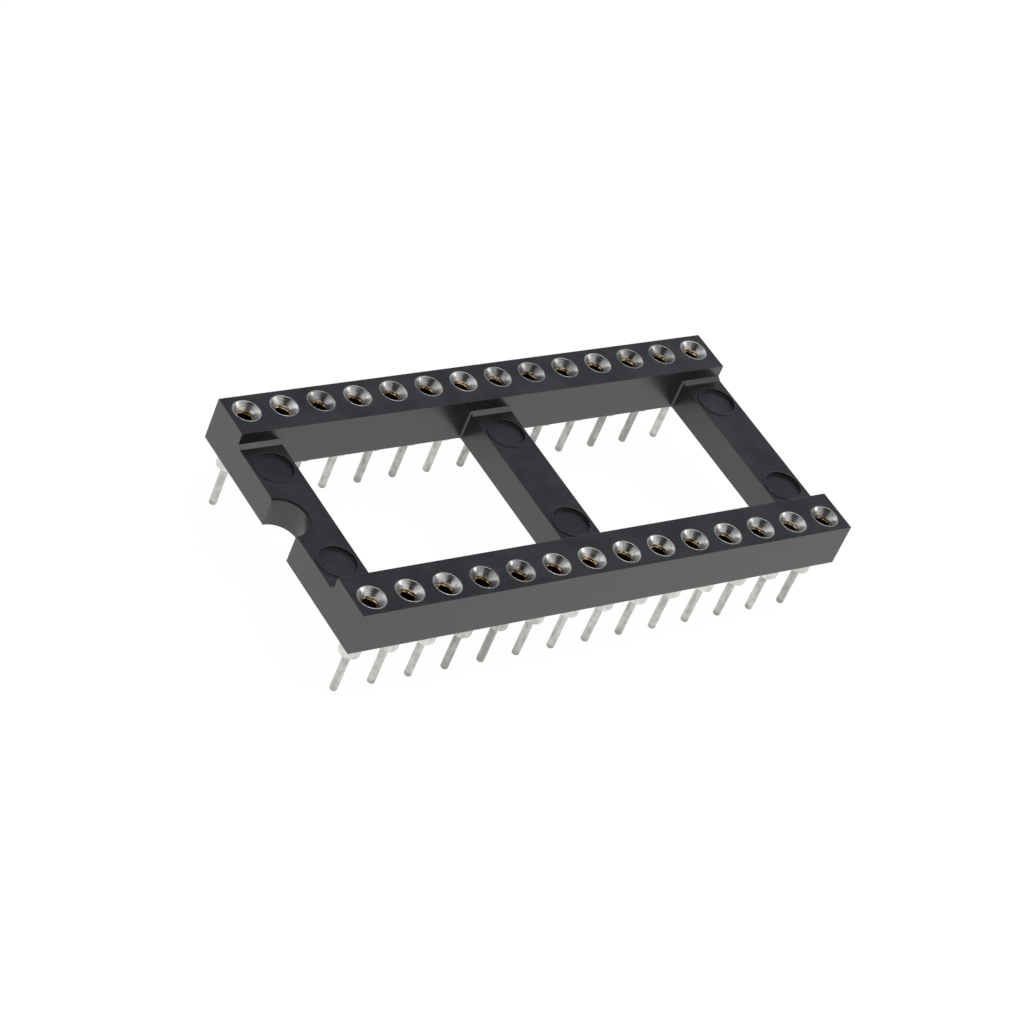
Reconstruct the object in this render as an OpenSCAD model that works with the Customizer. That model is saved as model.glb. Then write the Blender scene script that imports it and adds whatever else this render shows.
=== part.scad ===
// Turned-contact dual-in-line IC socket: an open ladder-shaped insulator with two rows of
// machined sleeves, each holding a four-finger spring clip and ending in a solder tail.
// It stands on its tail tips at z = 0. +X runs along the rows, and the index notch for
// contact 1 is in the -X end. Sizes are in millimetres.

/* [Contact grid] */
// Contacts in each of the two rows
contacts_per_row = 14; // [8:1:14]
// Distance from one contact to the next along a row
pitch = 2.54; // [2.5:0.01:2.6]
// Distance between the two rows
row_spacing = 15.24; // [15.24:2.54:22.86]

/* [Insulator] */
// Height of the rails
rail_h = 3; // [2.8:0.1:3.4]
// Width of each rail
rail_w = 3; // [2.9:0.05:3.2]
// Distance from a row of contacts to the rail's outer face
side_margin = 1.23; // [1.2:0.01:1.4]
// Distance from the last contact of a row to the end face
end_margin = 1.24; // [1.2:0.01:1.3]
// Width of each of the three crossbars
bar_w = 2.85; // [2.8:0.05:3.2]
// Distance from the rails' top down to the crossbars' top
bar_drop = 1; // [0.8:0.1:1.2]
// Width of the sloped foot where a rail's wall meets a crossbar
foot_run = 0.5; // [0.3:0.05:0.6]
// Height of that sloped foot
foot_rise = 0.45; // [0.3:0.05:0.6]
// Radius of the fillets in the corners of the two windows
window_fillet = 0.3; // [0.1:0.05:0.5]
// Width of the lead-in at the lower mouth of each contact hole
hole_lead_in = 0.12; // [0.05:0.01:0.2]

/* [Index notch] */
// Radius of the half-round notch in the end face
notch_r = 1.47; // [1.2:0.01:1.5]
// Width of the ledge round the top of the notch
ledge_w = 0.14; // [0.08:0.01:0.2]
// Depth of that ledge below the crossbar's top
ledge_depth = 0.3; // [0.1:0.05:0.5]

/* [Ejector marks] */
// Diameter of the round ejector marks on the crossbars
mark_d = 2.46; // [2:0.02:2.6]
// Distance from a rail's inner wall to the centre of a mark
mark_inset = 2; // [1.9:0.05:2.4]
// Width of the groove round each mark
groove_w = 0.13; // [0.08:0.01:0.2]
// Depth of the groove round each mark
groove_depth = 0.16; // [0.05:0.01:0.25]
// Depth of the shallow dish inside each mark
dish_depth = 0.05; // [0.02:0.01:0.1]

/* [Sleeves] */
// Diameter of the head that sits flush in the rail
head_d = 1.8; // [1.7:0.02:1.84]
// Height of the head
head_h = 0.75; // [0.6:0.05:0.9]
// Diameter of the shank and of the stand-off collar below the rail
shank_d = 1.32; // [1.28:0.02:1.4]
// Diameter of the retaining barb on the shank
barb_d = 1.46; // [1.42:0.02:1.56]
// Height that the collar holds the rail above the board
standoff_h = 1.35; // [0.8:0.05:1.6]
// Diameter of the entry funnel at the top
funnel_d = 1.68; // [1.5:0.02:1.68]
// Depth of the entry funnel
funnel_depth = 0.45; // [0.3:0.05:0.6]
// Diameter of the drilled bore
bore_d = 1.06; // [1.02:0.02:1.08]
// Depth of the full bore below the rail's top
bore_depth = 3.4; // [3:0.1:3.5]
// Diameter of the solder tail
tail_d = 0.48; // [0.46:0.01:0.56]
// Length of the solder tail below the collar
tail_l = 3.05; // [2.8:0.05:3.4]

/* [Spring clips] */
// Thickness of the strip that the clip is rolled from
clip_wall = 0.09; // [0.06:0.01:0.1]
// Height of the rolled band at the top of the clip
band_h = 0.6; // [0.5:0.05:0.8]
// Height of the whole clip
clip_h = 2.2; // [2:0.1:2.4]
// Gap left between opposite fingers for the lead of a chip
finger_gap = 0.36; // [0.3:0.02:0.44]
// Width of the slots between the four fingers
slot_w = 0.14; // [0.1:0.01:0.2]
// Turn from one clip to the next, since clips are pressed in at any angle
clip_turn = 37; // [0:1:90]

/* [Hidden] */
$fn = 64;

// Length past a face at which a cutting shape ends
past = 1;
contact_count = 2 * contacts_per_row;

// Levels, from the tail tips up
seat_z = tail_l;
rail_bottom_z = seat_z + standoff_h;
rail_top_z = rail_bottom_z + rail_h;
bar_top_z = rail_top_z - bar_drop;
head_bottom_z = rail_top_z - head_h;

// Insulator outline
body_l = (contacts_per_row - 1) * pitch + 2 * end_margin;
body_w = row_spacing + 2 * side_margin;
wall_y = body_w / 2 - rail_w;
mark_y = wall_y - mark_inset;
bar_x = (body_l - bar_w) / 2;
window_l = bar_x - bar_w;
window_x = bar_x / 2;
dish_rim_w = 0.25;

// Sleeve details
shank_r = shank_d / 2;
tail_r = tail_d / 2;
collar_chamfer = 0.08;
tip_chamfer = 0.09;
barb_top_z = head_bottom_z - 0.55;
barb_bottom_z = barb_top_z - 0.5;
drill_half_angle = 59;

// Spring clip details
clip_top_z = rail_top_z - funnel_depth;
clip_bottom_z = clip_top_z - clip_h;
band_bottom_z = clip_top_z - band_h;
finger_z = clip_bottom_z + 0.4;
finger_flare = 0.06;
seam_w = 0.05;
quarter_turn = 90;
slot_offset = 45;

function two_digits(n) = n < 10 ? str("0", n) : str(n);
function sleeve_name(n) = str("sleeve_", two_digits(n));
function clip_name(n) = str("clip_", two_digits(n));

// Contacts count along the -Y row from the notch, and back along the +Y row
function column(n) = n <= contacts_per_row ? n : contact_count + 1 - n;
function contact_x(n) = (column(n) - (contacts_per_row + 1) / 2) * pitch;
function contact_y(n) = (n <= contacts_per_row ? -1 : 1) * row_spacing / 2;

// Radii and heights of the sleeve's outside from the head down to the collar's underside.
// The hole in the rail is cut with the same outline, so the sleeve seats line to line.
sleeve_outline = [
    [head_d / 2, rail_top_z],
    [head_d / 2, head_bottom_z],
    [shank_r, head_bottom_z],
    [shank_r, barb_top_z],
    [barb_d / 2, barb_top_z],
    [shank_r, barb_bottom_z],
];

// Two rails, each a plain bar with the contacts' centre line nearer its outer face
module rails() {
    for (side = [-1, 1])
        translate([-body_l / 2, side * (wall_y + rail_w / 2) - rail_w / 2, rail_bottom_z])
            cube([body_l, rail_w, rail_h]);
}

// A window's outline between two crossbars, with filleted corners
module window_outline() {
    half_l = window_l / 2;
    f = window_fillet;
    square([window_l - 2 * f, 2 * wall_y], center = true);
    square([window_l, 2 * (wall_y - f)], center = true);
    for (sx = [-1, 1])
        for (sy = [-1, 1])
            translate([sx * (half_l - f), sy * (wall_y - f)])
                circle(r = f);
}

// Three crossbars, lower than the rails and level with them underneath
module crossbars() {
    translate([0, 0, rail_bottom_z])
        linear_extrude(rail_h - bar_drop)
            difference() {
                square([body_l, 2 * wall_y], center = true);
                for (side = [-1, 1])
                    translate([side * window_x, 0])
                        window_outline();
            }
}

// The sloped foot of a rail's inner wall, along the top of one crossbar
module wall_foot() {
    rotate([90, 0, 90])
        linear_extrude(bar_w, center = true)
            polygon([
                [wall_y - foot_run, bar_top_z],
                [wall_y, bar_top_z],
                [wall_y, bar_top_z + foot_rise],
            ]);
}

module wall_feet() {
    for (x = [-bar_x, 0, bar_x])
        for (side = [0, 1])
            translate([x, 0, 0])
                mirror([0, side, 0])
                    wall_foot();
}

// Half-round notch through the end crossbar, with a shallow ledge round its top
module index_notch() {
    translate([-body_l / 2, 0, rail_bottom_z - past])
        cylinder(r = notch_r, h = rail_h + 2 * past);
    translate([-body_l / 2, 0, bar_top_z - ledge_depth])
        cylinder(r = notch_r + ledge_w, h = bar_drop + past);
}

// A shallow dish with a fine groove round it
module ejector_mark() {
    mark_r = mark_d / 2;
    island_r = mark_r - groove_w;
    rotate_extrude()
        polygon([
            [0, -dish_depth],
            [island_r - dish_rim_w, -dish_depth],
            [island_r, 0],
            [island_r, -groove_depth],
            [mark_r, -groove_depth],
            [mark_r, past],
            [0, past],
        ]);
}

module ejector_marks() {
    for (x = [-bar_x, 0, bar_x])
        for (side = [-1, 1])
            translate([x, side * mark_y, bar_top_z])
                ejector_mark();
}

// The room that one sleeve takes in the rail, with a lead-in at the lower mouth
module contact_hole() {
    rotate_extrude()
        polygon(concat(
            [[0, rail_top_z + past], [head_d / 2, rail_top_z + past]],
            sleeve_outline,
            [
                [shank_r, rail_bottom_z + hole_lead_in],
                [shank_r + hole_lead_in, rail_bottom_z],
                [shank_r + hole_lead_in, rail_bottom_z - past],
                [0, rail_bottom_z - past],
            ]
        ));
}

module insulator() {
    color("#2d2e33")
        difference() {
            union() {
                rails();
                crossbars();
                wall_feet();
            }
            index_notch();
            ejector_marks();
            for (n = [1:contact_count])
                translate([contact_x(n), contact_y(n), 0])
                    contact_hole();
        }
}

// One turned sleeve: flush head, barbed shank, collar and solder tail, drilled from above
module turned_sleeve() {
    bore_r = bore_d / 2;
    bore_z = rail_top_z - bore_depth;
    rotate_extrude()
        polygon(concat(
            [
                [0, bore_z - bore_r / tan(drill_half_angle)],
                [bore_r, bore_z],
                [bore_r, rail_top_z - funnel_depth],
                [funnel_d / 2, rail_top_z],
            ],
            sleeve_outline,
            [
                [shank_r, seat_z + collar_chamfer],
                [shank_r - collar_chamfer, seat_z],
                [tail_r, seat_z],
                [tail_r, tip_chamfer],
                [tail_r - tip_chamfer, 0],
                [0, 0],
            ]
        ));
}

// One clip, rolled from strip: an open band at the top and four fingers that close downwards
module spring_clip() {
    outer_r = bore_d / 2;
    grip_r = finger_gap / 2;
    difference() {
        rotate_extrude()
            polygon([
                [outer_r - clip_wall, clip_top_z],
                [outer_r, clip_top_z],
                [outer_r, band_bottom_z],
                [grip_r + clip_wall, finger_z],
                [grip_r + clip_wall + finger_flare, clip_bottom_z],
                [grip_r + finger_flare, clip_bottom_z],
                [grip_r, finger_z],
                [outer_r - clip_wall, band_bottom_z],
            ]);
        for (q = [0:3])
            rotate(slot_offset + q * quarter_turn)
                translate([0, -slot_w / 2, clip_bottom_z - past])
                    cube([bore_d, slot_w, band_bottom_z - clip_bottom_z + past]);
        rotate(slot_offset)
            translate([0, -seam_w / 2, clip_bottom_z])
                cube([bore_d, seam_w, clip_h + past]);
    }
}

module sleeve(n) {
    color("#d3d1c9")
        translate([contact_x(n), contact_y(n), 0])
            turned_sleeve();
}

module clip(n) {
    color("#b5893f")
        translate([contact_x(n), contact_y(n), 0])
            rotate(n * clip_turn)
                spring_clip();
}

insulator();
for (n = [1:contact_count]) {
    sleeve(n);
    clip(n);
}
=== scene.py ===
"""Finish and studio for a turned-contact dual-in-line IC socket.

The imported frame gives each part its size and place. The insulator, each sleeve and each spring
clip are made again inside it, with the forms, fine edges and bends that moulding, turning and
rolling leave on the real thing.

Lengths in the dataclasses are in millimetres. Blender's own are in metres.
"""

import logging
import math
from dataclasses import dataclass, field
from enum import Enum
from typing import Any, Iterable, Sequence

import bmesh
import bpy
from mathutils import Matrix, Vector

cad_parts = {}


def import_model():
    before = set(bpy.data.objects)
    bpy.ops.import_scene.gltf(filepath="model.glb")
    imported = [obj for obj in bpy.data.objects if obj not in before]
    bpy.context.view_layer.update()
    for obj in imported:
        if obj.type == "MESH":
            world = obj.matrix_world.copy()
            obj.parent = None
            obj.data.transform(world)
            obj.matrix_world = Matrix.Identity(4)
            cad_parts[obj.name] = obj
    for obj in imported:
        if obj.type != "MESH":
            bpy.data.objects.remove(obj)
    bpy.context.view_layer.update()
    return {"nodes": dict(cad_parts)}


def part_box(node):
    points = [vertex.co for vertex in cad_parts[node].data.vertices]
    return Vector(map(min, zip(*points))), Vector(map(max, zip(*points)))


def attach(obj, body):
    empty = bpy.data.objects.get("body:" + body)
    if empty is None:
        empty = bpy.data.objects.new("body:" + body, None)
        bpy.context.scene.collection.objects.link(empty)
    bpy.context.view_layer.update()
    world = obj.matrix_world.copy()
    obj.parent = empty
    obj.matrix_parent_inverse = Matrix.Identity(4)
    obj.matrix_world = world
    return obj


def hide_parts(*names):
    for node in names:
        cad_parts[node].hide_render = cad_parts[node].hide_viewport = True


MM = 0.001
# Points closer than this are one point, in metres
SEAM = 0.0005 * MM
# Heights closer than this are level, in millimetres
LEVEL = 1e-6
BODY = "root"
# How far apart two pieces' patterns lie at most, in millimetres
PIECE_STEP = 97.0
log = logging.getLogger("ic_socket")

Colour = tuple[float, float, float]
Point = tuple[float, float]


# ---------------------------------------------------------------- meshes


def rounded_outline(corners: Sequence[tuple[float, float, float]], steps: int = 5) -> list[Point]:
    """Turns corners with a radius each into a smooth open outline.

    Args:
        corners: (r, z, radius) of each corner in millimetres; a radius of 0 stays sharp.
        steps: Points on each rounded corner beyond its first one.

    Returns:
        The outline's points as (r, z).
    """
    outline: list[Point] = []
    for index, (r, z, radius) in enumerate(corners):
        here = Vector((r, z))
        if radius == 0 or index in (0, len(corners) - 1):
            outline.append((r, z))
            continue
        before = (Vector(corners[index - 1][:2]) - here).normalized()
        after = (Vector(corners[index + 1][:2]) - here).normalized()
        half = before.angle(after) / 2
        reach = radius / math.tan(half)
        centre = here + (before + after).normalized() * radius / math.sin(half)
        spoke = here + before * reach - centre
        sweep = math.pi - 2 * half
        side = math.copysign(1.0, before.x * after.y - before.y * after.x)
        for step in range(steps + 1):
            turn = Matrix.Rotation(-side * sweep * step / steps, 2)
            outline.append(tuple(centre + turn @ spoke))
    return outline


def revolved(name: str, outline: Sequence[Point], segments: int) -> bpy.types.Mesh:
    """Spins an outline that starts and ends on the axis into a closed mesh.

    Args:
        name: The mesh's name.
        outline: (r, z) in millimetres from the top of the axis to its bottom.
        segments: Faces round the axis.

    Returns:
        The mesh, in metres, with its axis on Z.
    """
    verts: list[tuple[float, float, float]] = [(0, 0, outline[0][1] * MM)]
    for r, z in outline[1:-1]:
        for step in range(segments):
            angle = math.tau * step / segments
            verts.append((r * math.cos(angle) * MM, r * math.sin(angle) * MM, z * MM))
    verts.append((0, 0, outline[-1][1] * MM))
    rings = len(outline) - 2
    last = len(verts) - 1
    faces: list[tuple[int, ...]] = []
    for step in range(segments):
        beside = (step + 1) % segments
        faces.append((0, 1 + step, 1 + beside))
        for ring in range(rings - 1):
            upper, lower = 1 + ring * segments, 1 + (ring + 1) * segments
            faces.append((upper + step, lower + step, lower + beside, upper + beside))
        bottom = 1 + (rings - 1) * segments
        faces.append((bottom + step, last, bottom + beside))
    return mesh_of(name, verts, faces)


def mesh_of(
    name: str, verts: Sequence[Sequence[float]], faces: Sequence[Sequence[int]]
) -> bpy.types.Mesh:
    """Makes a smooth-shaded mesh.

    Args:
        name: The mesh's name.
        verts: Vertices in metres.
        faces: Faces as vertex numbers.

    Returns:
        The mesh.
    """
    mesh = bpy.data.meshes.new(name)
    mesh.from_pydata(verts, [], faces)
    mesh.polygons.foreach_set("use_smooth", [True] * len(mesh.polygons))
    mesh.validate()
    mesh.update()
    return mesh


def prism(
    name: str, outline: Sequence[Point], low: float, high: float, along_x: bool = False
) -> bpy.types.Mesh:
    """A straight bar with a given section.

    Args:
        name: The mesh's name.
        outline: The section's points in millimetres, counter-clockwise seen from its far end.
        low: Where the bar starts along its axis.
        high: Where it ends.
        along_x: True for a bar along X with a (y, z) section, and not along Z with an (x, y) one.

    Returns:
        A closed mesh.
    """
    count = len(outline)
    verts = []
    for level in (low, high):
        for a, b in outline:
            spot = (level, a, b) if along_x else (a, b, level)
            verts.append([MM * value for value in spot])
    sides = [(i, (i + 1) % count, (i + 1) % count + count, i + count) for i in range(count)]
    ends = [tuple(reversed(range(count))), tuple(range(count, 2 * count))]
    return mesh_of(name, verts, [*sides, *ends])


def gathered(
    name: str, shapes: Iterable[bpy.types.Mesh], places: Sequence[Vector] = (Vector(),)
) -> bpy.types.Mesh:
    """One mesh that holds each of several shapes at each of several places.

    Args:
        name: The new mesh's name.
        shapes: The shapes, which are used up.
        places: Where each goes, in metres.

    Returns:
        The mesh.
    """
    verts: list[Vector] = []
    faces: list[tuple[int, ...]] = []
    for shape in shapes:
        for place in places:
            first = len(verts)
            verts.extend(vertex.co + place for vertex in shape.vertices)
            faces.extend(tuple(first + i for i in ring.vertices) for ring in shape.polygons)
        bpy.data.meshes.remove(shape)
    return mesh_of(name, verts, faces)


def tidied(mesh: bpy.types.Mesh) -> None:
    """Merges a mesh's coincident points and drops the faces that have no area.

    Args:
        mesh: The mesh, which is changed in place.
    """
    shape = bmesh.new()
    shape.from_mesh(mesh)
    bmesh.ops.remove_doubles(shape, verts=shape.verts, dist=SEAM)
    bmesh.ops.dissolve_degenerate(shape, edges=shape.edges, dist=SEAM)
    shape.to_mesh(mesh)
    shape.free()
    mesh.update()


class Work(Enum):
    """What a second shape does to the first."""

    CUT = "DIFFERENCE"
    ADD = "UNION"


def worked(solid: bpy.types.Object, how: Work, shape: bpy.types.Mesh) -> None:
    """Cuts a shape out of a solid, or fuses it on.

    Args:
        solid: The solid, whose mesh is exchanged for the new one.
        how: Cut or add.
        shape: The second shape, which is used up.
    """
    tool = placed("tool", shape, Vector())
    step = solid.modifiers.new("step", "BOOLEAN")
    step.operation = how.value
    step.solver = "EXACT"
    step.object = tool
    bpy.context.view_layer.update()
    graph = bpy.context.evaluated_depsgraph_get()
    result = bpy.data.meshes.new_from_object(solid.evaluated_get(graph))
    tidied(result)
    solid.modifiers.clear()
    before = solid.data
    solid.data = result
    bpy.data.meshes.remove(before)
    bpy.data.objects.remove(tool)
    bpy.data.meshes.remove(shape)


def volume_of(mesh: bpy.types.Mesh) -> float:
    """Measures a closed mesh.

    Args:
        mesh: The mesh, in metres.

    Returns:
        Its volume in cubic millimetres.
    """
    shape = bmesh.new()
    shape.from_mesh(mesh)
    volume = shape.calc_volume() / MM**3
    shape.free()
    return volume


def axis_of(node: str) -> Vector:
    """The middle of a node's box, at height 0, in metres."""
    low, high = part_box(node)
    return Vector(((low.x + high.x) / 2, (low.y + high.y) / 2, 0.0))


def placed(name: str, data: Any, at: Vector) -> bpy.types.Object:
    """Puts data in the scene as an object.

    Args:
        name: The object's name.
        data: A mesh, light or camera.
        at: Its place in metres.

    Returns:
        The object.
    """
    thing = bpy.data.objects.new(name, data)
    thing.matrix_world = Matrix.Translation(at)
    bpy.context.scene.collection.objects.link(thing)
    return thing


# ---------------------------------------------------------------- materials


class Grain(Enum):
    """What a noise pattern's lines follow."""

    EVEN = (1.0, 1.0, 1.0)
    ALONG_X = (0.12, 1.0, 1.0)
    ALONG_Z = (1.0, 1.0, 0.15)


class NodeBench:
    """Lays out one material's nodes with short calls."""

    def __init__(self, owner: bpy.types.Material | bpy.types.World) -> None:
        """Clears the owner's nodes.

        Args:
            owner: The material or the world to lay nodes on.
        """
        owner.use_nodes = True
        self.owner = owner
        self.tree = owner.node_tree
        self.tree.nodes.clear()

    @classmethod
    def for_material(cls, name: str) -> "NodeBench":
        """A bench with a new material on it."""
        return cls(bpy.data.materials.new(name))

    def add(self, kind: str, sockets: dict[str | int, Any] | None = None, **settings: Any) -> Any:
        """Adds a node.

        Args:
            kind: The node's type.
            sockets: A value, or an output to link, for each input by name or number.
            settings: Attributes to set on the node.

        Returns:
            The node.
        """
        node = self.tree.nodes.new(kind)
        for name, value in settings.items():
            setattr(node, name, value)
        for socket, value in (sockets or {}).items():
            if isinstance(value, bpy.types.NodeSocket):
                self.tree.links.new(value, node.inputs[socket])
            else:
                node.inputs[socket].default_value = value
        return node

    def place(self) -> Any:
        """Finds the place on the piece.

        Returns:
            The output that gives it, in millimetres from the piece's origin.
        """
        source = self.add("ShaderNodeTexCoord").outputs["Object"]
        return self.add(
            "ShaderNodeVectorMath", {0: source, 1: (1 / MM,) * 3}, operation="MULTIPLY"
        ).outputs[0]

    def shifted(self, vector: Any) -> Any:
        """Moves a place far, by a different step for each piece, so that no two look alike.

        Args:
            vector: The place.

        Returns:
            The moved place's output.
        """
        chance = self.add("ShaderNodeObjectInfo").outputs["Random"]
        step = self.add("ShaderNodeMath", {0: chance, 1: PIECE_STEP}, operation="MULTIPLY").outputs[0]
        return self.add(
            "ShaderNodeVectorMath", {0: vector, 1: step}, operation="ADD"
        ).outputs[0]

    def noise(
        self, vector: Any, scale: float, detail: float = 3.0, grain: Grain = Grain.EVEN
    ) -> Any:
        """A noise pattern from 0 to 1.

        Args:
            vector: The place in millimetres.
            scale: Waves to a millimetre.
            detail: Finer octaves.
            grain: What its lines follow.

        Returns:
            The pattern's output.
        """
        if grain is not Grain.EVEN:
            vector = self.add(
                "ShaderNodeVectorMath", {0: vector, 1: grain.value}, operation="MULTIPLY"
            ).outputs[0]
        sockets = {"Vector": vector, "Scale": scale, "Detail": detail, "Roughness": 0.55}
        return self.add("ShaderNodeTexNoise", sockets).outputs["Fac"]

    def remap(self, value: Any, low: float, high: float, to_low: float, to_high: float) -> Any:
        """A value carried smoothly from one span to another.

        Args:
            value: The output to read.
            low: Where the old span starts.
            high: Where it ends.
            to_low: Where the new span starts.
            to_high: Where it ends.

        Returns:
            The new value's output.
        """
        sockets = {0: value, 1: low, 2: high, 3: to_low, 4: to_high}
        node = self.add("ShaderNodeMapRange", sockets, interpolation_type="SMOOTHSTEP")
        return node.outputs[0]

    def blend(self, factor: Any, first: Any, second: Any) -> Any:
        """A colour between two others.

        Args:
            factor: 0 for the first colour, 1 for the second.
            first: A colour or an output.
            second: A colour or an output.

        Returns:
            The colour's output.
        """
        node = self.add("ShaderNodeMix", data_type="RGBA")
        for socket, value in ((0, factor), (6, first), (7, second)):
            if isinstance(value, bpy.types.NodeSocket):
                self.tree.links.new(value, node.inputs[socket])
            else:
                node.inputs[socket].default_value = (*value, 1.0) if socket else value
        return node.outputs[2]

    def sum_of(self, *values: Any) -> Any:
        """Adds several outputs.

        Args:
            values: The outputs.

        Returns:
            Their sum's output.
        """
        total = values[0]
        for value in values[1:]:
            total = self.add("ShaderNodeMath", {0: total, 1: value}, operation="ADD").outputs[0]
        return total

    def scaled(self, value: Any, by: float) -> Any:
        """An output times a number."""
        return self.add("ShaderNodeMath", {0: value, 1: by}, operation="MULTIPLY").outputs[0]

    def relief(self, height: Any, depth: float, normal: Any = None) -> Any:
        """A bump.

        Args:
            height: The pattern, where 1 is high.
            depth: Its height in millimetres.
            normal: A normal to lay it on.

        Returns:
            The new normal's output.
        """
        sockets = {"Height": height, "Distance": depth * MM, "Strength": 1.0}
        if normal is not None:
            sockets["Normal"] = normal
        return self.add("ShaderNodeBump", sockets).outputs["Normal"]

    def surface(self, sockets: dict[str, Any]) -> bpy.types.Material:
        """Ends the material in one Principled shader.

        Args:
            sockets: Its inputs.

        Returns:
            The material.
        """
        shader = self.add("ShaderNodeBsdfPrincipled", sockets)
        self.add("ShaderNodeOutputMaterial", {0: shader.outputs[0]})
        return self.owner

    def seen(self) -> Any:
        """Tells what is looked at from what only gives light.

        Returns:
            1 where the lens, a glossy part or a clear part looks, and 0 for light that spreads.
        """
        path = self.add("ShaderNodeLightPath").outputs
        return self.sum_of(
            path["Is Camera Ray"], path["Is Glossy Ray"], path["Is Transmission Ray"]
        )


@dataclass(frozen=True)
class MouldedPlastic:
    """Black glass-filled polyester, with the satin skin of a ground mould."""

    deep: Colour = (0.0085, 0.0088, 0.0098)
    worn: Colour = (0.017, 0.0172, 0.018)
    fibre: Colour = (0.06, 0.062, 0.066)
    gloss: tuple[float, float] = (0.24, 0.34)
    index: float = 1.7
    edge_round: float = 0.035
    edge_samples: int = 6
    cloud_waves: float = 0.45
    skin_waves: float = 14.0
    flow_waves: float = 2.2
    speck_waves: float = 9.0
    scuff_waves: float = 3.0
    flow_depth: float = 0.004
    skin_depth: float = 0.0016
    scuff_dullness: float = 0.08

    def material(self) -> bpy.types.Material:
        """Builds the nodes.

        Returns:
            The material.
        """
        bench = NodeBench.for_material("insulator_plastic")
        place = bench.place()
        cloud = bench.noise(place, self.cloud_waves, 4.0)
        skin = bench.noise(place, self.skin_waves, 2.0)
        flow = bench.noise(place, self.flow_waves, 3.0, Grain.ALONG_X)
        specks = bench.noise(place, self.speck_waves, 1.0)
        specks = bench.remap(specks, 0.72, 0.8, 0.0, 1.0)
        scuffs = bench.noise(place, self.scuff_waves, 5.0, Grain.ALONG_X)
        scuffs = bench.remap(scuffs, 0.62, 0.75, 0.0, 1.0)
        tone = bench.blend(bench.remap(cloud, 0.35, 0.7, 0.0, 1.0), self.deep, self.worn)
        tone = bench.blend(bench.scaled(specks, 0.5), tone, self.fibre)
        low, high = self.gloss
        sheen = bench.remap(bench.sum_of(cloud, bench.scaled(skin, 0.5)), 0.45, 1.05, low, high)
        sheen = bench.sum_of(sheen, bench.scaled(scuffs, self.scuff_dullness))
        edges = bench.add(
            "ShaderNodeBevel", {"Radius": self.edge_round * MM}, samples=self.edge_samples
        ).outputs[0]
        waves = bench.relief(flow, self.flow_depth, edges)
        normal = bench.relief(skin, self.skin_depth, waves)
        return bench.surface(
            {"Base Color": tone, "Roughness": sheen, "IOR": self.index, "Normal": normal}
        )


@dataclass(frozen=True)
class TinPlate:
    """Matte tin over turned brass: fine turning rings, a tone that differs by piece, and painted
    shade that darkens the tails and lays dark vertical bands.
    """

    bright: Colour = (0.76, 0.75, 0.72)
    # The darker tone: greyer tin, and also the painted shade on the tails and in the vertical bands.
    dull_and_shaded: Colour = (0.30, 0.295, 0.275)
    tarnish: Colour = (0.34, 0.29, 0.21)
    gloss: tuple[float, float] = (0.14, 0.34)
    tip_h: float = 0.5
    tail_l: float = 3.05
    ring_waves: float = 16.0
    mottle_waves: float = 2.4
    grit_waves: float = 11.0
    # Painted shade: waves to a millimetre of the dark vertical bands.
    shade_streak_waves: float = 5.0
    ring_depth: float = 0.006
    grit_depth: float = 0.003

    def material(self) -> bpy.types.Material:
        """Builds the nodes.

        Returns:
            The material.
        """
        bench = NodeBench.for_material("tin_plate")
        own = bench.place()
        place = bench.shifted(own)
        parts = bench.add("ShaderNodeSeparateXYZ", {0: own})
        flat = bench.add("ShaderNodeCombineXYZ", {0: parts.outputs[0], 1: parts.outputs[1]})
        radius = bench.add(
            "ShaderNodeVectorMath", {0: flat.outputs[0]}, operation="LENGTH"
        ).outputs["Value"]
        sweep = bench.add("ShaderNodeCombineXYZ", {0: radius, 2: parts.outputs[2]})
        rings = bench.noise(bench.shifted(sweep.outputs[0]), self.ring_waves, 2.0)
        mottle = bench.noise(place, self.mottle_waves, 4.0)
        grit = bench.noise(place, self.grit_waves, 3.0)
        chance = bench.add("ShaderNodeObjectInfo").outputs["Random"]
        # Painted shade: dark vertical bands, as the reflections on a round tail would give.
        painted_shade_streaks = bench.noise(place, self.shade_streak_waves, 2.0, Grain.ALONG_Z)
        # Darker towards the tip's end.
        tip = bench.remap(parts.outputs[2], 0.1, self.tip_h, 0.3, 0.0)
        # Painted shade: the tail below the collar's seat darker than the collar.
        tail = bench.remap(parts.outputs[2], self.tail_l - 0.1, self.tail_l, 0.36, 0.0)
        # Random and per-piece tone, together with the painted shade on the tails and in the vertical
        # bands.
        dullness_and_painted_shade = bench.sum_of(
            bench.remap(mottle, 0.35, 0.75, 0.0, 0.28),
            bench.remap(chance, 0.3, 1.0, 0.0, 0.42),
            bench.remap(painted_shade_streaks, 0.4, 0.7, 0.0, 0.3),
            tip,
            tail,
        )
        # Between the bright tin and the darker tone, partly by painted shade.
        tone = bench.blend(dullness_and_painted_shade, self.bright, self.dull_and_shaded)
        tone = bench.blend(bench.remap(grit, 0.55, 0.8, 0.0, 0.36), tone, self.tarnish)
        low, high = self.gloss
        sheen = bench.remap(bench.sum_of(mottle, bench.scaled(grit, 0.4)), 0.4, 1.0, low, high)
        waves = bench.relief(rings, self.ring_depth)
        normal = bench.relief(grit, self.grit_depth, waves)
        return bench.surface(
            {"Base Color": tone, "Roughness": sheen, "Metallic": 1.0, "Normal": normal}
        )


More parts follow.
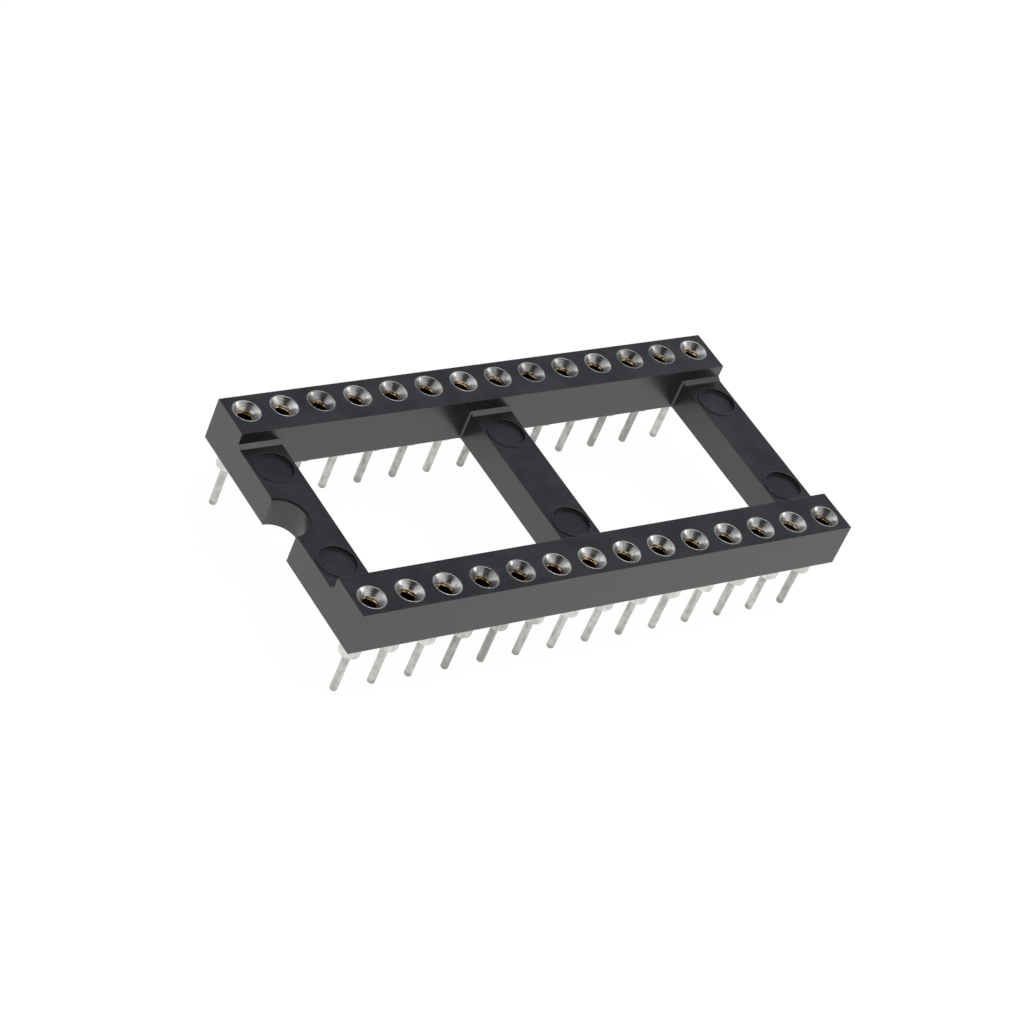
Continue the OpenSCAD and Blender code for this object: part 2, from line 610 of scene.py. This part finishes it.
@dataclass(frozen=True)
class GoldPlate:
    """Gold flash over beryllium copper strip, with fine rolling lines and patches of painted shade in
    dark brown.
    """

    bright: Colour = (0.70, 0.54, 0.32)
    # Painted shade: near-black brown laid in patches over the gold, standing in for the deep bore's
    # shade.
    painted_shade_brown: Colour = (0.13, 0.078, 0.034)
    gloss: tuple[float, float] = (0.09, 0.24)
    # Painted shade: waves to a millimetre of the dark brown patches.
    cloud_waves: float = 4.0
    line_waves: float = 9.0
    line_depth: float = 0.004

    def material(self) -> bpy.types.Material:
        """Builds the nodes.

        Returns:
            The material.
        """
        bench = NodeBench.for_material("gold_plate")
        place = bench.shifted(bench.place())
        cloud = bench.noise(place, self.cloud_waves, 3.0)
        lines = bench.noise(place, self.line_waves, 2.0, Grain.ALONG_Z)
        # Painted shade: the cloud pattern turns patches of the gold near-black brown.
        tone = bench.blend(bench.remap(cloud, 0.38, 0.56, 0.0, 1.0), self.bright, self.painted_shade_brown)
        low, high = self.gloss
        sheen = bench.remap(lines, 0.3, 0.7, low, high)
        normal = bench.relief(lines, self.line_depth)
        return bench.surface(
            {"Base Color": tone, "Roughness": sheen, "Metallic": 1.0, "Normal": normal}
        )


@dataclass(frozen=True)
class StudioPaper:
    """White paper that looks white to the lens and to glossy parts, and still takes a shadow."""

    colour: Colour = (0.86, 0.86, 0.86)
    glow: float = 1.03
    shadow_share: float = 0.06
    fibre_waves: float = 0.6
    fibre_tone: float = 0.98

    def material(self) -> bpy.types.Material:
        """Builds the nodes.

        Returns:
            The material.
        """
        bench = NodeBench.for_material("studio_paper")
        fibre = bench.noise(bench.place(), self.fibre_waves, 3.0)
        shade = bench.blend(fibre, self.colour, tuple(self.fibre_tone * c for c in self.colour))
        paper = bench.add("ShaderNodeBsdfDiffuse", {"Color": shade}).outputs[0]
        white = bench.add(
            "ShaderNodeEmission", {"Color": (1, 1, 1, 1), "Strength": self.glow}
        ).outputs[0]
        share = bench.scaled(bench.seen(), 1.0 - self.shadow_share)
        mixed = bench.add("ShaderNodeMixShader", {0: share, 1: paper, 2: white})
        bench.add("ShaderNodeOutputMaterial", {0: mixed.outputs[0]})
        return bench.owner


# ---------------------------------------------------------------- sub-assemblies


@dataclass
class Insulator:
    """The moulded ladder: two rails, three crossbars, the notch and six ejector marks."""

    node: str = "insulator"
    rail_w: float = 3.0
    bar_w: float = 2.85
    bar_drop: float = 1.0
    foot_run: float = 0.3
    foot_rise: float = 0.18
    window_round: float = 0.15
    notch_r: float = 1.47
    ledge_w: float = 0.14
    ledge_depth: float = 0.1
    mark_r: float = 1.23
    mark_inset: float = 2.0
    rim_w: float = 0.055
    rim_h: float = 0.06
    recess_depth: float = 0.13
    lead_in: float = 0.12
    rim_root: float = 1.0
    past: float = 1.0
    corner_steps: int = 12
    segments: int = 96
    sharp_angle: float = math.radians(14)
    finish: MouldedPlastic = field(default_factory=MouldedPlastic)

    def build(self, sleeve: "SleeveShape", sleeve_nodes: Sequence[str]) -> None:
        """Moulds the ladder and sets it in for its node.

        Args:
            sleeve: The sleeve that each hole fits.
            sleeve_nodes: The sleeves' nodes, which say where the holes are.
        """
        low, high = (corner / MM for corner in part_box(self.node))
        half_l, wall_y = high.x, high.y - self.rail_w
        bar_x = half_l - self.bar_w / 2
        bar_z = high.z - self.bar_drop
        name = "moulded_insulator"
        block = [(low.x, low.y), (high.x, low.y), (high.x, high.y), (low.x, high.y)]
        solid = placed(name, prism(name, block, low.z, high.z), Vector())
        worked(solid, Work.CUT, self.channel(half_l, wall_y, bar_z, high.z))
        spots = [
            Vector((x, side * (wall_y - self.mark_inset), bar_z)) * MM
            for x in (-bar_x, 0.0, bar_x)
            for side in (-1, 1)
        ]
        worked(solid, Work.ADD, self.disc(spots, self.mark_r, -self.rim_root, self.rim_h))
        openings = [
            self.windows(half_l, wall_y, low.z, high.z),
            self.disc(spots, self.mark_r - self.rim_w, -self.recess_depth, self.past),
            self.notch(Vector((low.x, 0.0, 0.0)) * MM, low.z, bar_z),
            self.holes(sleeve, sleeve_nodes, low.z, high.z),
        ]
        worked(solid, Work.CUT, gathered("openings", openings))
        solid.data.polygons.foreach_set("use_smooth", [True] * len(solid.data.polygons))
        solid.data.set_sharp_from_angle(angle=self.sharp_angle)
        solid.data.materials.clear()
        solid.data.materials.append(self.finish.material())
        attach(solid, BODY)
        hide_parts(self.node)
        size = volume_of(solid.data)
        log.info("%s: %d faces, %.1f mm3", name, len(solid.data.polygons), size)

    def channel(
        self, half_l: float, wall_y: float, bar_z: float, top: float
    ) -> bpy.types.Mesh:
        """The room between the rails above the crossbars, with a sloped foot on each wall.

        Args:
            half_l: Half of the ladder's length.
            wall_y: The rails' inner walls, from the middle.
            bar_z: The crossbars' top.
            top: The rails' top.

        Returns:
            The mesh.
        """
        foot_y = wall_y - self.foot_run
        section = [
            (-foot_y, bar_z),
            (foot_y, bar_z),
            (wall_y, bar_z + self.foot_rise),
            (wall_y, top + self.past),
            (-wall_y, top + self.past),
            (-wall_y, bar_z + self.foot_rise),
        ]
        reach = half_l + self.past
        return prism("channel", section, -reach, reach, along_x=True)

    def windows(
        self, half_l: float, wall_y: float, bottom: float, top: float
    ) -> bpy.types.Mesh:
        """The two openings between the crossbars, with rounded corners.

        Args:
            half_l: Half of the ladder's length.
            wall_y: The rails' inner walls, from the middle.
            bottom: The rails' underside.
            top: The rails' top.

        Returns:
            The mesh.
        """
        inner_x = self.bar_w / 2
        outer_x = half_l - self.bar_w
        half_w = (outer_x - inner_x) / 2
        centre_x = (outer_x + inner_x) / 2
        r = self.window_round
        outline = []
        for quarter, (sx, sy) in enumerate(((1, 1), (-1, 1), (-1, -1), (1, -1))):
            for step in range(self.corner_steps + 1):
                angle = math.pi / 2 * (quarter + step / self.corner_steps)
                x = sx * (half_w - r) + r * math.cos(angle)
                y = sy * (wall_y - r) + r * math.sin(angle)
                outline.append((x, y))
        shape = prism("window", outline, bottom - self.past, top + self.past)
        places = [Vector((side * centre_x * MM, 0.0, 0.0)) for side in (-1, 1)]
        return gathered("windows", [shape], places)

    def disc(
        self, places: Sequence[Vector], radius: float, low: float, high: float
    ) -> bpy.types.Mesh:
        """A plain disc at each of several places.

        Args:
            places: The middle of each, in metres.
            radius: Its radius.
            low: Its lower face, from the place's height.
            high: Its upper face.

        Returns:
            The mesh.
        """
        outline = [(0.0, high), (radius, high), (radius, low), (0.0, low)]
        return gathered("discs", [revolved("disc", outline, self.segments)], places)

    def notch(self, end: Vector, bottom: float, bar_z: float) -> bpy.types.Mesh:
        """The round notch through the end bar, with a shallow ledge round its top.

        Args:
            end: The middle of the end face, at height 0, in metres.
            bottom: The bar's underside.
            bar_z: The bar's top.

        Returns:
            The mesh.
        """
        ledge_r = self.notch_r + self.ledge_w
        outline = [
            (0.0, bar_z + self.past),
            (ledge_r, bar_z + self.past),
            (ledge_r, bar_z - self.ledge_depth),
            (self.notch_r, bar_z - self.ledge_depth),
            (self.notch_r, bottom - self.past),
            (0.0, bottom - self.past),
        ]
        return gathered("notch", [revolved("notch", outline, self.segments)], [end])

    def holes(
        self, sleeve: "SleeveShape", sleeve_nodes: Sequence[str], bottom: float, top: float
    ) -> bpy.types.Mesh:
        """The room that each sleeve takes, with a lead-in at its lower mouth.

        Args:
            sleeve: The sleeve's sizes.
            sleeve_nodes: The sleeves' nodes.
            bottom: The rails' underside.
            top: The rails' top.

        Returns:
            The mesh.
        """
        barb_z = top - sleeve.head_h - sleeve.barb_drop
        mouth_r = sleeve.shank_r + self.lead_in
        outline = [
            (0.0, top + self.past),
            (sleeve.head_r, top + self.past),
            (sleeve.head_r, top - sleeve.head_h),
            (sleeve.shank_r, top - sleeve.head_h),
            (sleeve.shank_r, barb_z),
            (sleeve.barb_r, barb_z),
            (sleeve.shank_r, barb_z - sleeve.barb_h),
            (sleeve.shank_r, bottom + self.lead_in),
            (mouth_r, bottom),
            (mouth_r, bottom - self.past),
            (0.0, bottom - self.past),
        ]
        shape = revolved("hole", outline, sleeve.segments)
        places = [axis_of(node) for node in sleeve_nodes]
        return gathered("holes", [shape], places)


@dataclass
class SleeveShape:
    """One turned sleeve: flush head with an entry funnel, barbed shank, collar and tail."""

    head_r: float = 0.9
    head_h: float = 0.75
    funnel_r: float = 0.84
    funnel_depth: float = 0.45
    bore_r: float = 0.53
    bore_depth: float = 3.4
    drill_half_angle: float = math.radians(59)
    shank_r: float = 0.66
    barb_r: float = 0.73
    barb_drop: float = 0.55
    barb_h: float = 0.5
    seat_z: float = 3.05
    collar_round: float = 0.08
    tail_r: float = 0.24
    tip_round: float = 0.1
    edge: float = 0.028
    drill_round: float = 0.05
    throat_round: float = 0.04
    step_round: float = 0.01
    barb_round: float = 0.05
    tail_root_round: float = 0.03
    segments: int = 64

    def outline(self, top: float) -> list[Point]:
        """The sleeve's half section.

        Args:
            top: The height of the head's face above the tail's tip.

        Returns:
            (r, z) from the bottom of the bore, over the head and down to the tail's tip.
        """
        bore_z = top - self.bore_depth
        head_z = top - self.head_h
        barb_z = head_z - self.barb_drop
        drill_z = bore_z - self.bore_r / math.tan(self.drill_half_angle)
        corners = [
            (0.0, drill_z, 0.0),
            (self.bore_r, bore_z, self.drill_round),
            (self.bore_r, top - self.funnel_depth, self.throat_round),
            (self.funnel_r, top, self.edge),
            (self.head_r, top, self.edge),
            (self.head_r, head_z, self.step_round),
            (self.shank_r, head_z, self.step_round),
            (self.shank_r, barb_z, self.step_round),
            (self.barb_r, barb_z, self.step_round),
            (self.shank_r, barb_z - self.barb_h, self.barb_round),
            (self.shank_r, self.seat_z, self.collar_round),
            (self.tail_r, self.seat_z, self.tail_root_round),
            (self.tail_r, 0.0, self.tip_round),
            (0.0, 0.0, 0.0),
        ]
        return rounded_outline(corners)

    def mesh(self, name: str, top: float) -> bpy.types.Mesh:
        """The sleeve's mesh.

        Args:
            name: The mesh's name.
            top: The height of the head's face above the tail's tip.

        Returns:
            A closed mesh with the tail's tip at its origin.
        """
        return revolved(name, self.outline(top), self.segments)


@dataclass
class ClipShape:
    """One spring clip: a rolled band, open at its seam, and four fingers that close downwards."""

    outer_r: float = 0.53
    wall: float = 0.09
    height: float = 2.2
    band_h: float = 0.6
    grip_r: float = 0.18
    tip_h: float = 0.4
    flare: float = 0.06
    seam: float = 0.05
    slot: float = 0.14
    slot_turn: float = math.radians(45)
    band_bend: float = 1.4
    tip_bend: float = 0.5
    columns: int = 9
    fingers: int = 4

    def path(self) -> list[Point]:
        """The strip's centre line.

        Returns:
            (r, z) from the band's top down to a finger's tip, with z = 0 at the tip.
        """
        middle = self.wall / 2
        band_z = self.height - self.band_h
        corners = [
            (self.outer_r - middle, self.height, 0.0),
            (self.outer_r - middle, self.height - self.band_h / 2, 0.0),
            (self.outer_r - middle, band_z, self.band_bend),
            (self.grip_r + middle, self.tip_h, self.tip_bend),
            (self.grip_r + middle + self.flare, 0.0, 0.0),
        ]
        return rounded_outline(corners, steps=6)

    def strip(self, name: str, turn: float) -> bpy.types.Mesh:
        """The middle surface of the rolled strip, which a thickness is then given to.

        Args:
            name: The mesh's name.
            turn: The clip's turn about its axis in radians.

        Returns:
            The mesh, with its axis on Z.
        """
        verts: list[tuple[float, float, float]] = []
        faces: list[tuple[int, ...]] = []
        path = self.path()
        band_z = self.height - self.band_h
        across = self.fingers * self.columns
        quarter = math.tau / self.fingers
        seam_at = turn + self.slot_turn
        for row, (r, z) in enumerate(path):
            for finger in range(self.fingers):
                for column in range(self.columns):
                    share = column / (self.columns - 1)
                    first = self.seam if finger == 0 and z >= band_z else self.slot
                    last = self.seam if finger == self.fingers - 1 and z >= band_z else self.slot
                    start = seam_at + finger * quarter + math.asin(first / 2 / r)
                    end = seam_at + (finger + 1) * quarter - math.asin(last / 2 / r)
                    angle = start + (end - start) * share
                    verts.append((r * math.cos(angle) * MM, r * math.sin(angle) * MM, z * MM))
            if row == 0:
                continue
            upper, lower = (row - 1) * across, row * across
            for column in range(across - 1):
                on_slot = (column + 1) % self.columns == 0
                if on_slot and z < band_z - LEVEL:
                    continue
                faces.append(
                    (upper + column, lower + column, lower + column + 1, upper + column + 1)
                )
        return mesh_of(name, verts, faces)


@dataclass
class Contact:
    """One contact: a turned sleeve and the spring clip pressed into it."""

    number: int
    sleeve: SleeveShape
    clip: ClipShape
    clip_turn: float = math.radians(37)

    @property
    def sleeve_node(self) -> str:
        """The sleeve's node."""
        return f"sleeve_{self.number:02d}"

    @property
    def clip_node(self) -> str:
        """The clip's node."""
        return f"clip_{self.number:02d}"

    def build(self, tin: bpy.types.Material, gold: bpy.types.Material) -> None:
        """Makes both pieces, dresses them and sets them in for their nodes.

        Args:
            tin: The sleeve's finish.
            gold: The clip's finish.
        """
        axis = axis_of(self.sleeve_node)
        low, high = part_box(self.sleeve_node)
        foot = Vector((axis.x, axis.y, low.z))
        top = (high.z - low.z) / MM
        name = f"turned_sleeve_{self.number:02d}"
        turned = placed(name, self.sleeve.mesh(name, top), foot)
        self.fit(turned, self.sleeve_node, tin)

        clip_low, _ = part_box(self.clip_node)
        name = f"rolled_clip_{self.number:02d}"
        foot = Vector((axis.x, axis.y, clip_low.z))
        rolled = placed(name, self.clip.strip(name, self.number * self.clip_turn), foot)
        thickness = rolled.modifiers.new("thickness", "SOLIDIFY")
        thickness.thickness = self.clip.wall * MM
        thickness.offset = 0.0
        thickness.use_even_offset = True
        self.fit(rolled, self.clip_node, gold)

    def fit(
        self, piece: bpy.types.Object, node: str, finish: bpy.types.Material
    ) -> None:
        """Dresses a piece and ties it to the frame.

        Args:
            piece: The piece.
            node: The node it stands for.
            finish: Its material.
        """
        piece.data.materials.append(finish)
        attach(piece, BODY)
        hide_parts(node)
        log.info("%s: %d faces", piece.name, len(piece.data.polygons))


@dataclass
class ContactRows:
    """All the contacts, in the order that the frame numbers them."""

    tin: TinPlate = field(default_factory=TinPlate)
    gold: GoldPlate = field(default_factory=GoldPlate)
    sleeve: SleeveShape = field(default_factory=SleeveShape)
    clip: ClipShape = field(default_factory=ClipShape)

    def build(self, sleeve_nodes: Sequence[str]) -> None:
        """Makes every contact.

        Args:
            sleeve_nodes: The sleeves' nodes, in order.
        """
        tin, gold = self.tin.material(), self.gold.material()
        for node in sleeve_nodes:
            Contact(int(node[-2:]), self.sleeve, self.clip).build(tin, gold)


# ---------------------------------------------------------------- studio


@dataclass
class SoftLamp:
    """A square soft box, aimed at the socket."""

    name: str
    azimuth: float
    elevation: float
    distance: float
    side: float
    watts: float
    tint: Colour = (1.0, 1.0, 1.0)

    def build(self) -> None:
        """Hangs the lamp."""
        light = bpy.data.lights.new(self.name, "AREA")
        light.size = self.side * MM
        light.energy = self.watts
        light.color = self.tint
        back = direction(self.azimuth, self.elevation)
        lamp = placed(self.name, light, back * self.distance * MM)
        lamp.rotation_euler = (-back).to_track_quat("-Z", "Y").to_euler()
        lamp.visible_camera = False
        log.info("%s: lamp", self.name)


@dataclass
class Studio:
    """A white paper floor, soft lamps and a plain white surround with a dim ceiling."""

    floor_side: float = 1600.0
    horizon: Colour = (1.0, 1.0, 1.0)
    ceiling: Colour = (0.22, 0.235, 0.28)
    lens_side: Colour = (0.03, 0.026, 0.022)
    lens_azimuth: float = -47.2
    lens_elevation: float = 38.4
    dusk: tuple[float, float] = (16.0, 32.0)
    lens_reach: tuple[float, float] = (24.0, 30.0)
    fill: float = 0.55
    lamps: tuple[SoftLamp, ...] = (
        SoftLamp(
            "overhead_lamp", azimuth=20.0, elevation=80.0, distance=260.0, side=220.0, watts=0.22
        ),
        SoftLamp("right_lamp", azimuth=55.0, elevation=8.0, distance=280.0, side=66.0, watts=0.04),
        SoftLamp(
            "foot_lamp", azimuth=63.0, elevation=50.0, distance=300.0, side=120.0, watts=0.042
        ),
    )

    def build(self) -> None:
        """Sets the floor, the lamps and the surround."""
        half = self.floor_side / 2 * MM
        corners = [(-half, -half, 0), (half, -half, 0), (half, half, 0), (-half, half, 0)]
        floor = placed("paper_floor", mesh_of("paper_floor", corners, [(0, 1, 2, 3)]), Vector())
        floor.data.materials.append(StudioPaper().material())
        log.info("paper_floor: laid")
        for lamp in self.lamps:
            lamp.build()
        self.surround()

    def surround(self) -> None:
        """Paints the world: white low down, dim overhead, and dark on the lens's side."""
        world = bpy.data.worlds.new("surround")
        bpy.context.scene.world = world
        bench = NodeBench(world)
        way = bench.add("ShaderNodeTexCoord").outputs["Generated"]
        height = bench.add("ShaderNodeSeparateXYZ", {0: way}).outputs[2]
        lens = direction(self.lens_azimuth, self.lens_elevation)
        near_lens = bench.add(
            "ShaderNodeVectorMath", {0: way, 1: tuple(lens)}, operation="DOT_PRODUCT"
        ).outputs["Value"]
        low, high = (math.sin(math.radians(angle)) for angle in self.dusk)
        up = bench.remap(height, low, high, 0, 1)
        room = bench.blend(up, self.horizon, self.ceiling)
        inner, outer = (math.cos(math.radians(angle)) for angle in self.lens_reach)
        dark = bench.remap(near_lens, outer, inner, 0, 1)
        room = bench.blend(dark, room, self.lens_side)
        colour = bench.blend(bench.seen(), (self.fill,) * 3, room)
        light = bench.add("ShaderNodeBackground", {"Color": colour, "Strength": 1.0})
        bench.add("ShaderNodeOutputWorld", {0: light.outputs[0]})
        log.info("surround: painted")


@dataclass
class Viewpoint:
    """The camera: a long lens that looks down across the notched end."""

    azimuth: float = -47.21
    elevation: float = 38.4
    roll: float = 24.44
    distance: float = 191.56
    aim: tuple[float, float, float] = (-3.37, -2.35, 6.4)
    lens: float = 115.71
    sensor: float = 36.0
    nearest: float = 10.0
    farthest: float = 5000.0

    def build(self) -> None:
        """Sets up the camera and makes it the scene's own."""
        data = bpy.data.cameras.new("camera")
        data.lens = self.lens
        data.sensor_width = self.sensor
        data.clip_start = self.nearest * MM
        data.clip_end = self.farthest * MM
        back = direction(self.azimuth, self.elevation)
        camera = placed("camera", data, (Vector(self.aim) + back * self.distance) * MM)
        level = (-back).to_track_quat("-Z", "Y").to_matrix().to_4x4()
        turn = level @ Matrix.Rotation(math.radians(self.roll), 4, "Z")
        camera.matrix_world = Matrix.Translation(camera.matrix_world.translation) @ turn
        bpy.context.scene.camera = camera
        log.info("camera: set")


def direction(azimuth: float, elevation: float) -> Vector:
    """The way from the socket to something round it.

    Args:
        azimuth: Degrees from -Y towards +X.
        elevation: Degrees above the horizon.

    Returns:
        A unit vector.
    """
    a, e = math.radians(azimuth), math.radians(elevation)
    return Vector((math.sin(a) * math.cos(e), -math.cos(a) * math.cos(e), math.sin(e)))


def main() -> None:
    """Loads the frame, builds and dresses each sub-assembly, and notes the sizes."""
    logging.basicConfig(level=logging.INFO, format="%(name)s | %(message)s")
    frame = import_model()
    Viewpoint().build()
    Studio().build()
    sleeve_nodes = sorted(name for name in frame["nodes"] if name.startswith("sleeve_"))
    rows = ContactRows()
    Insulator().build(rows.sleeve, sleeve_nodes)
    rows.build(sleeve_nodes)
    bpy.context.scene.view_settings.view_transform = "Standard"
    bpy.context.view_layer.update()


if __name__ == "__main__":
    main()
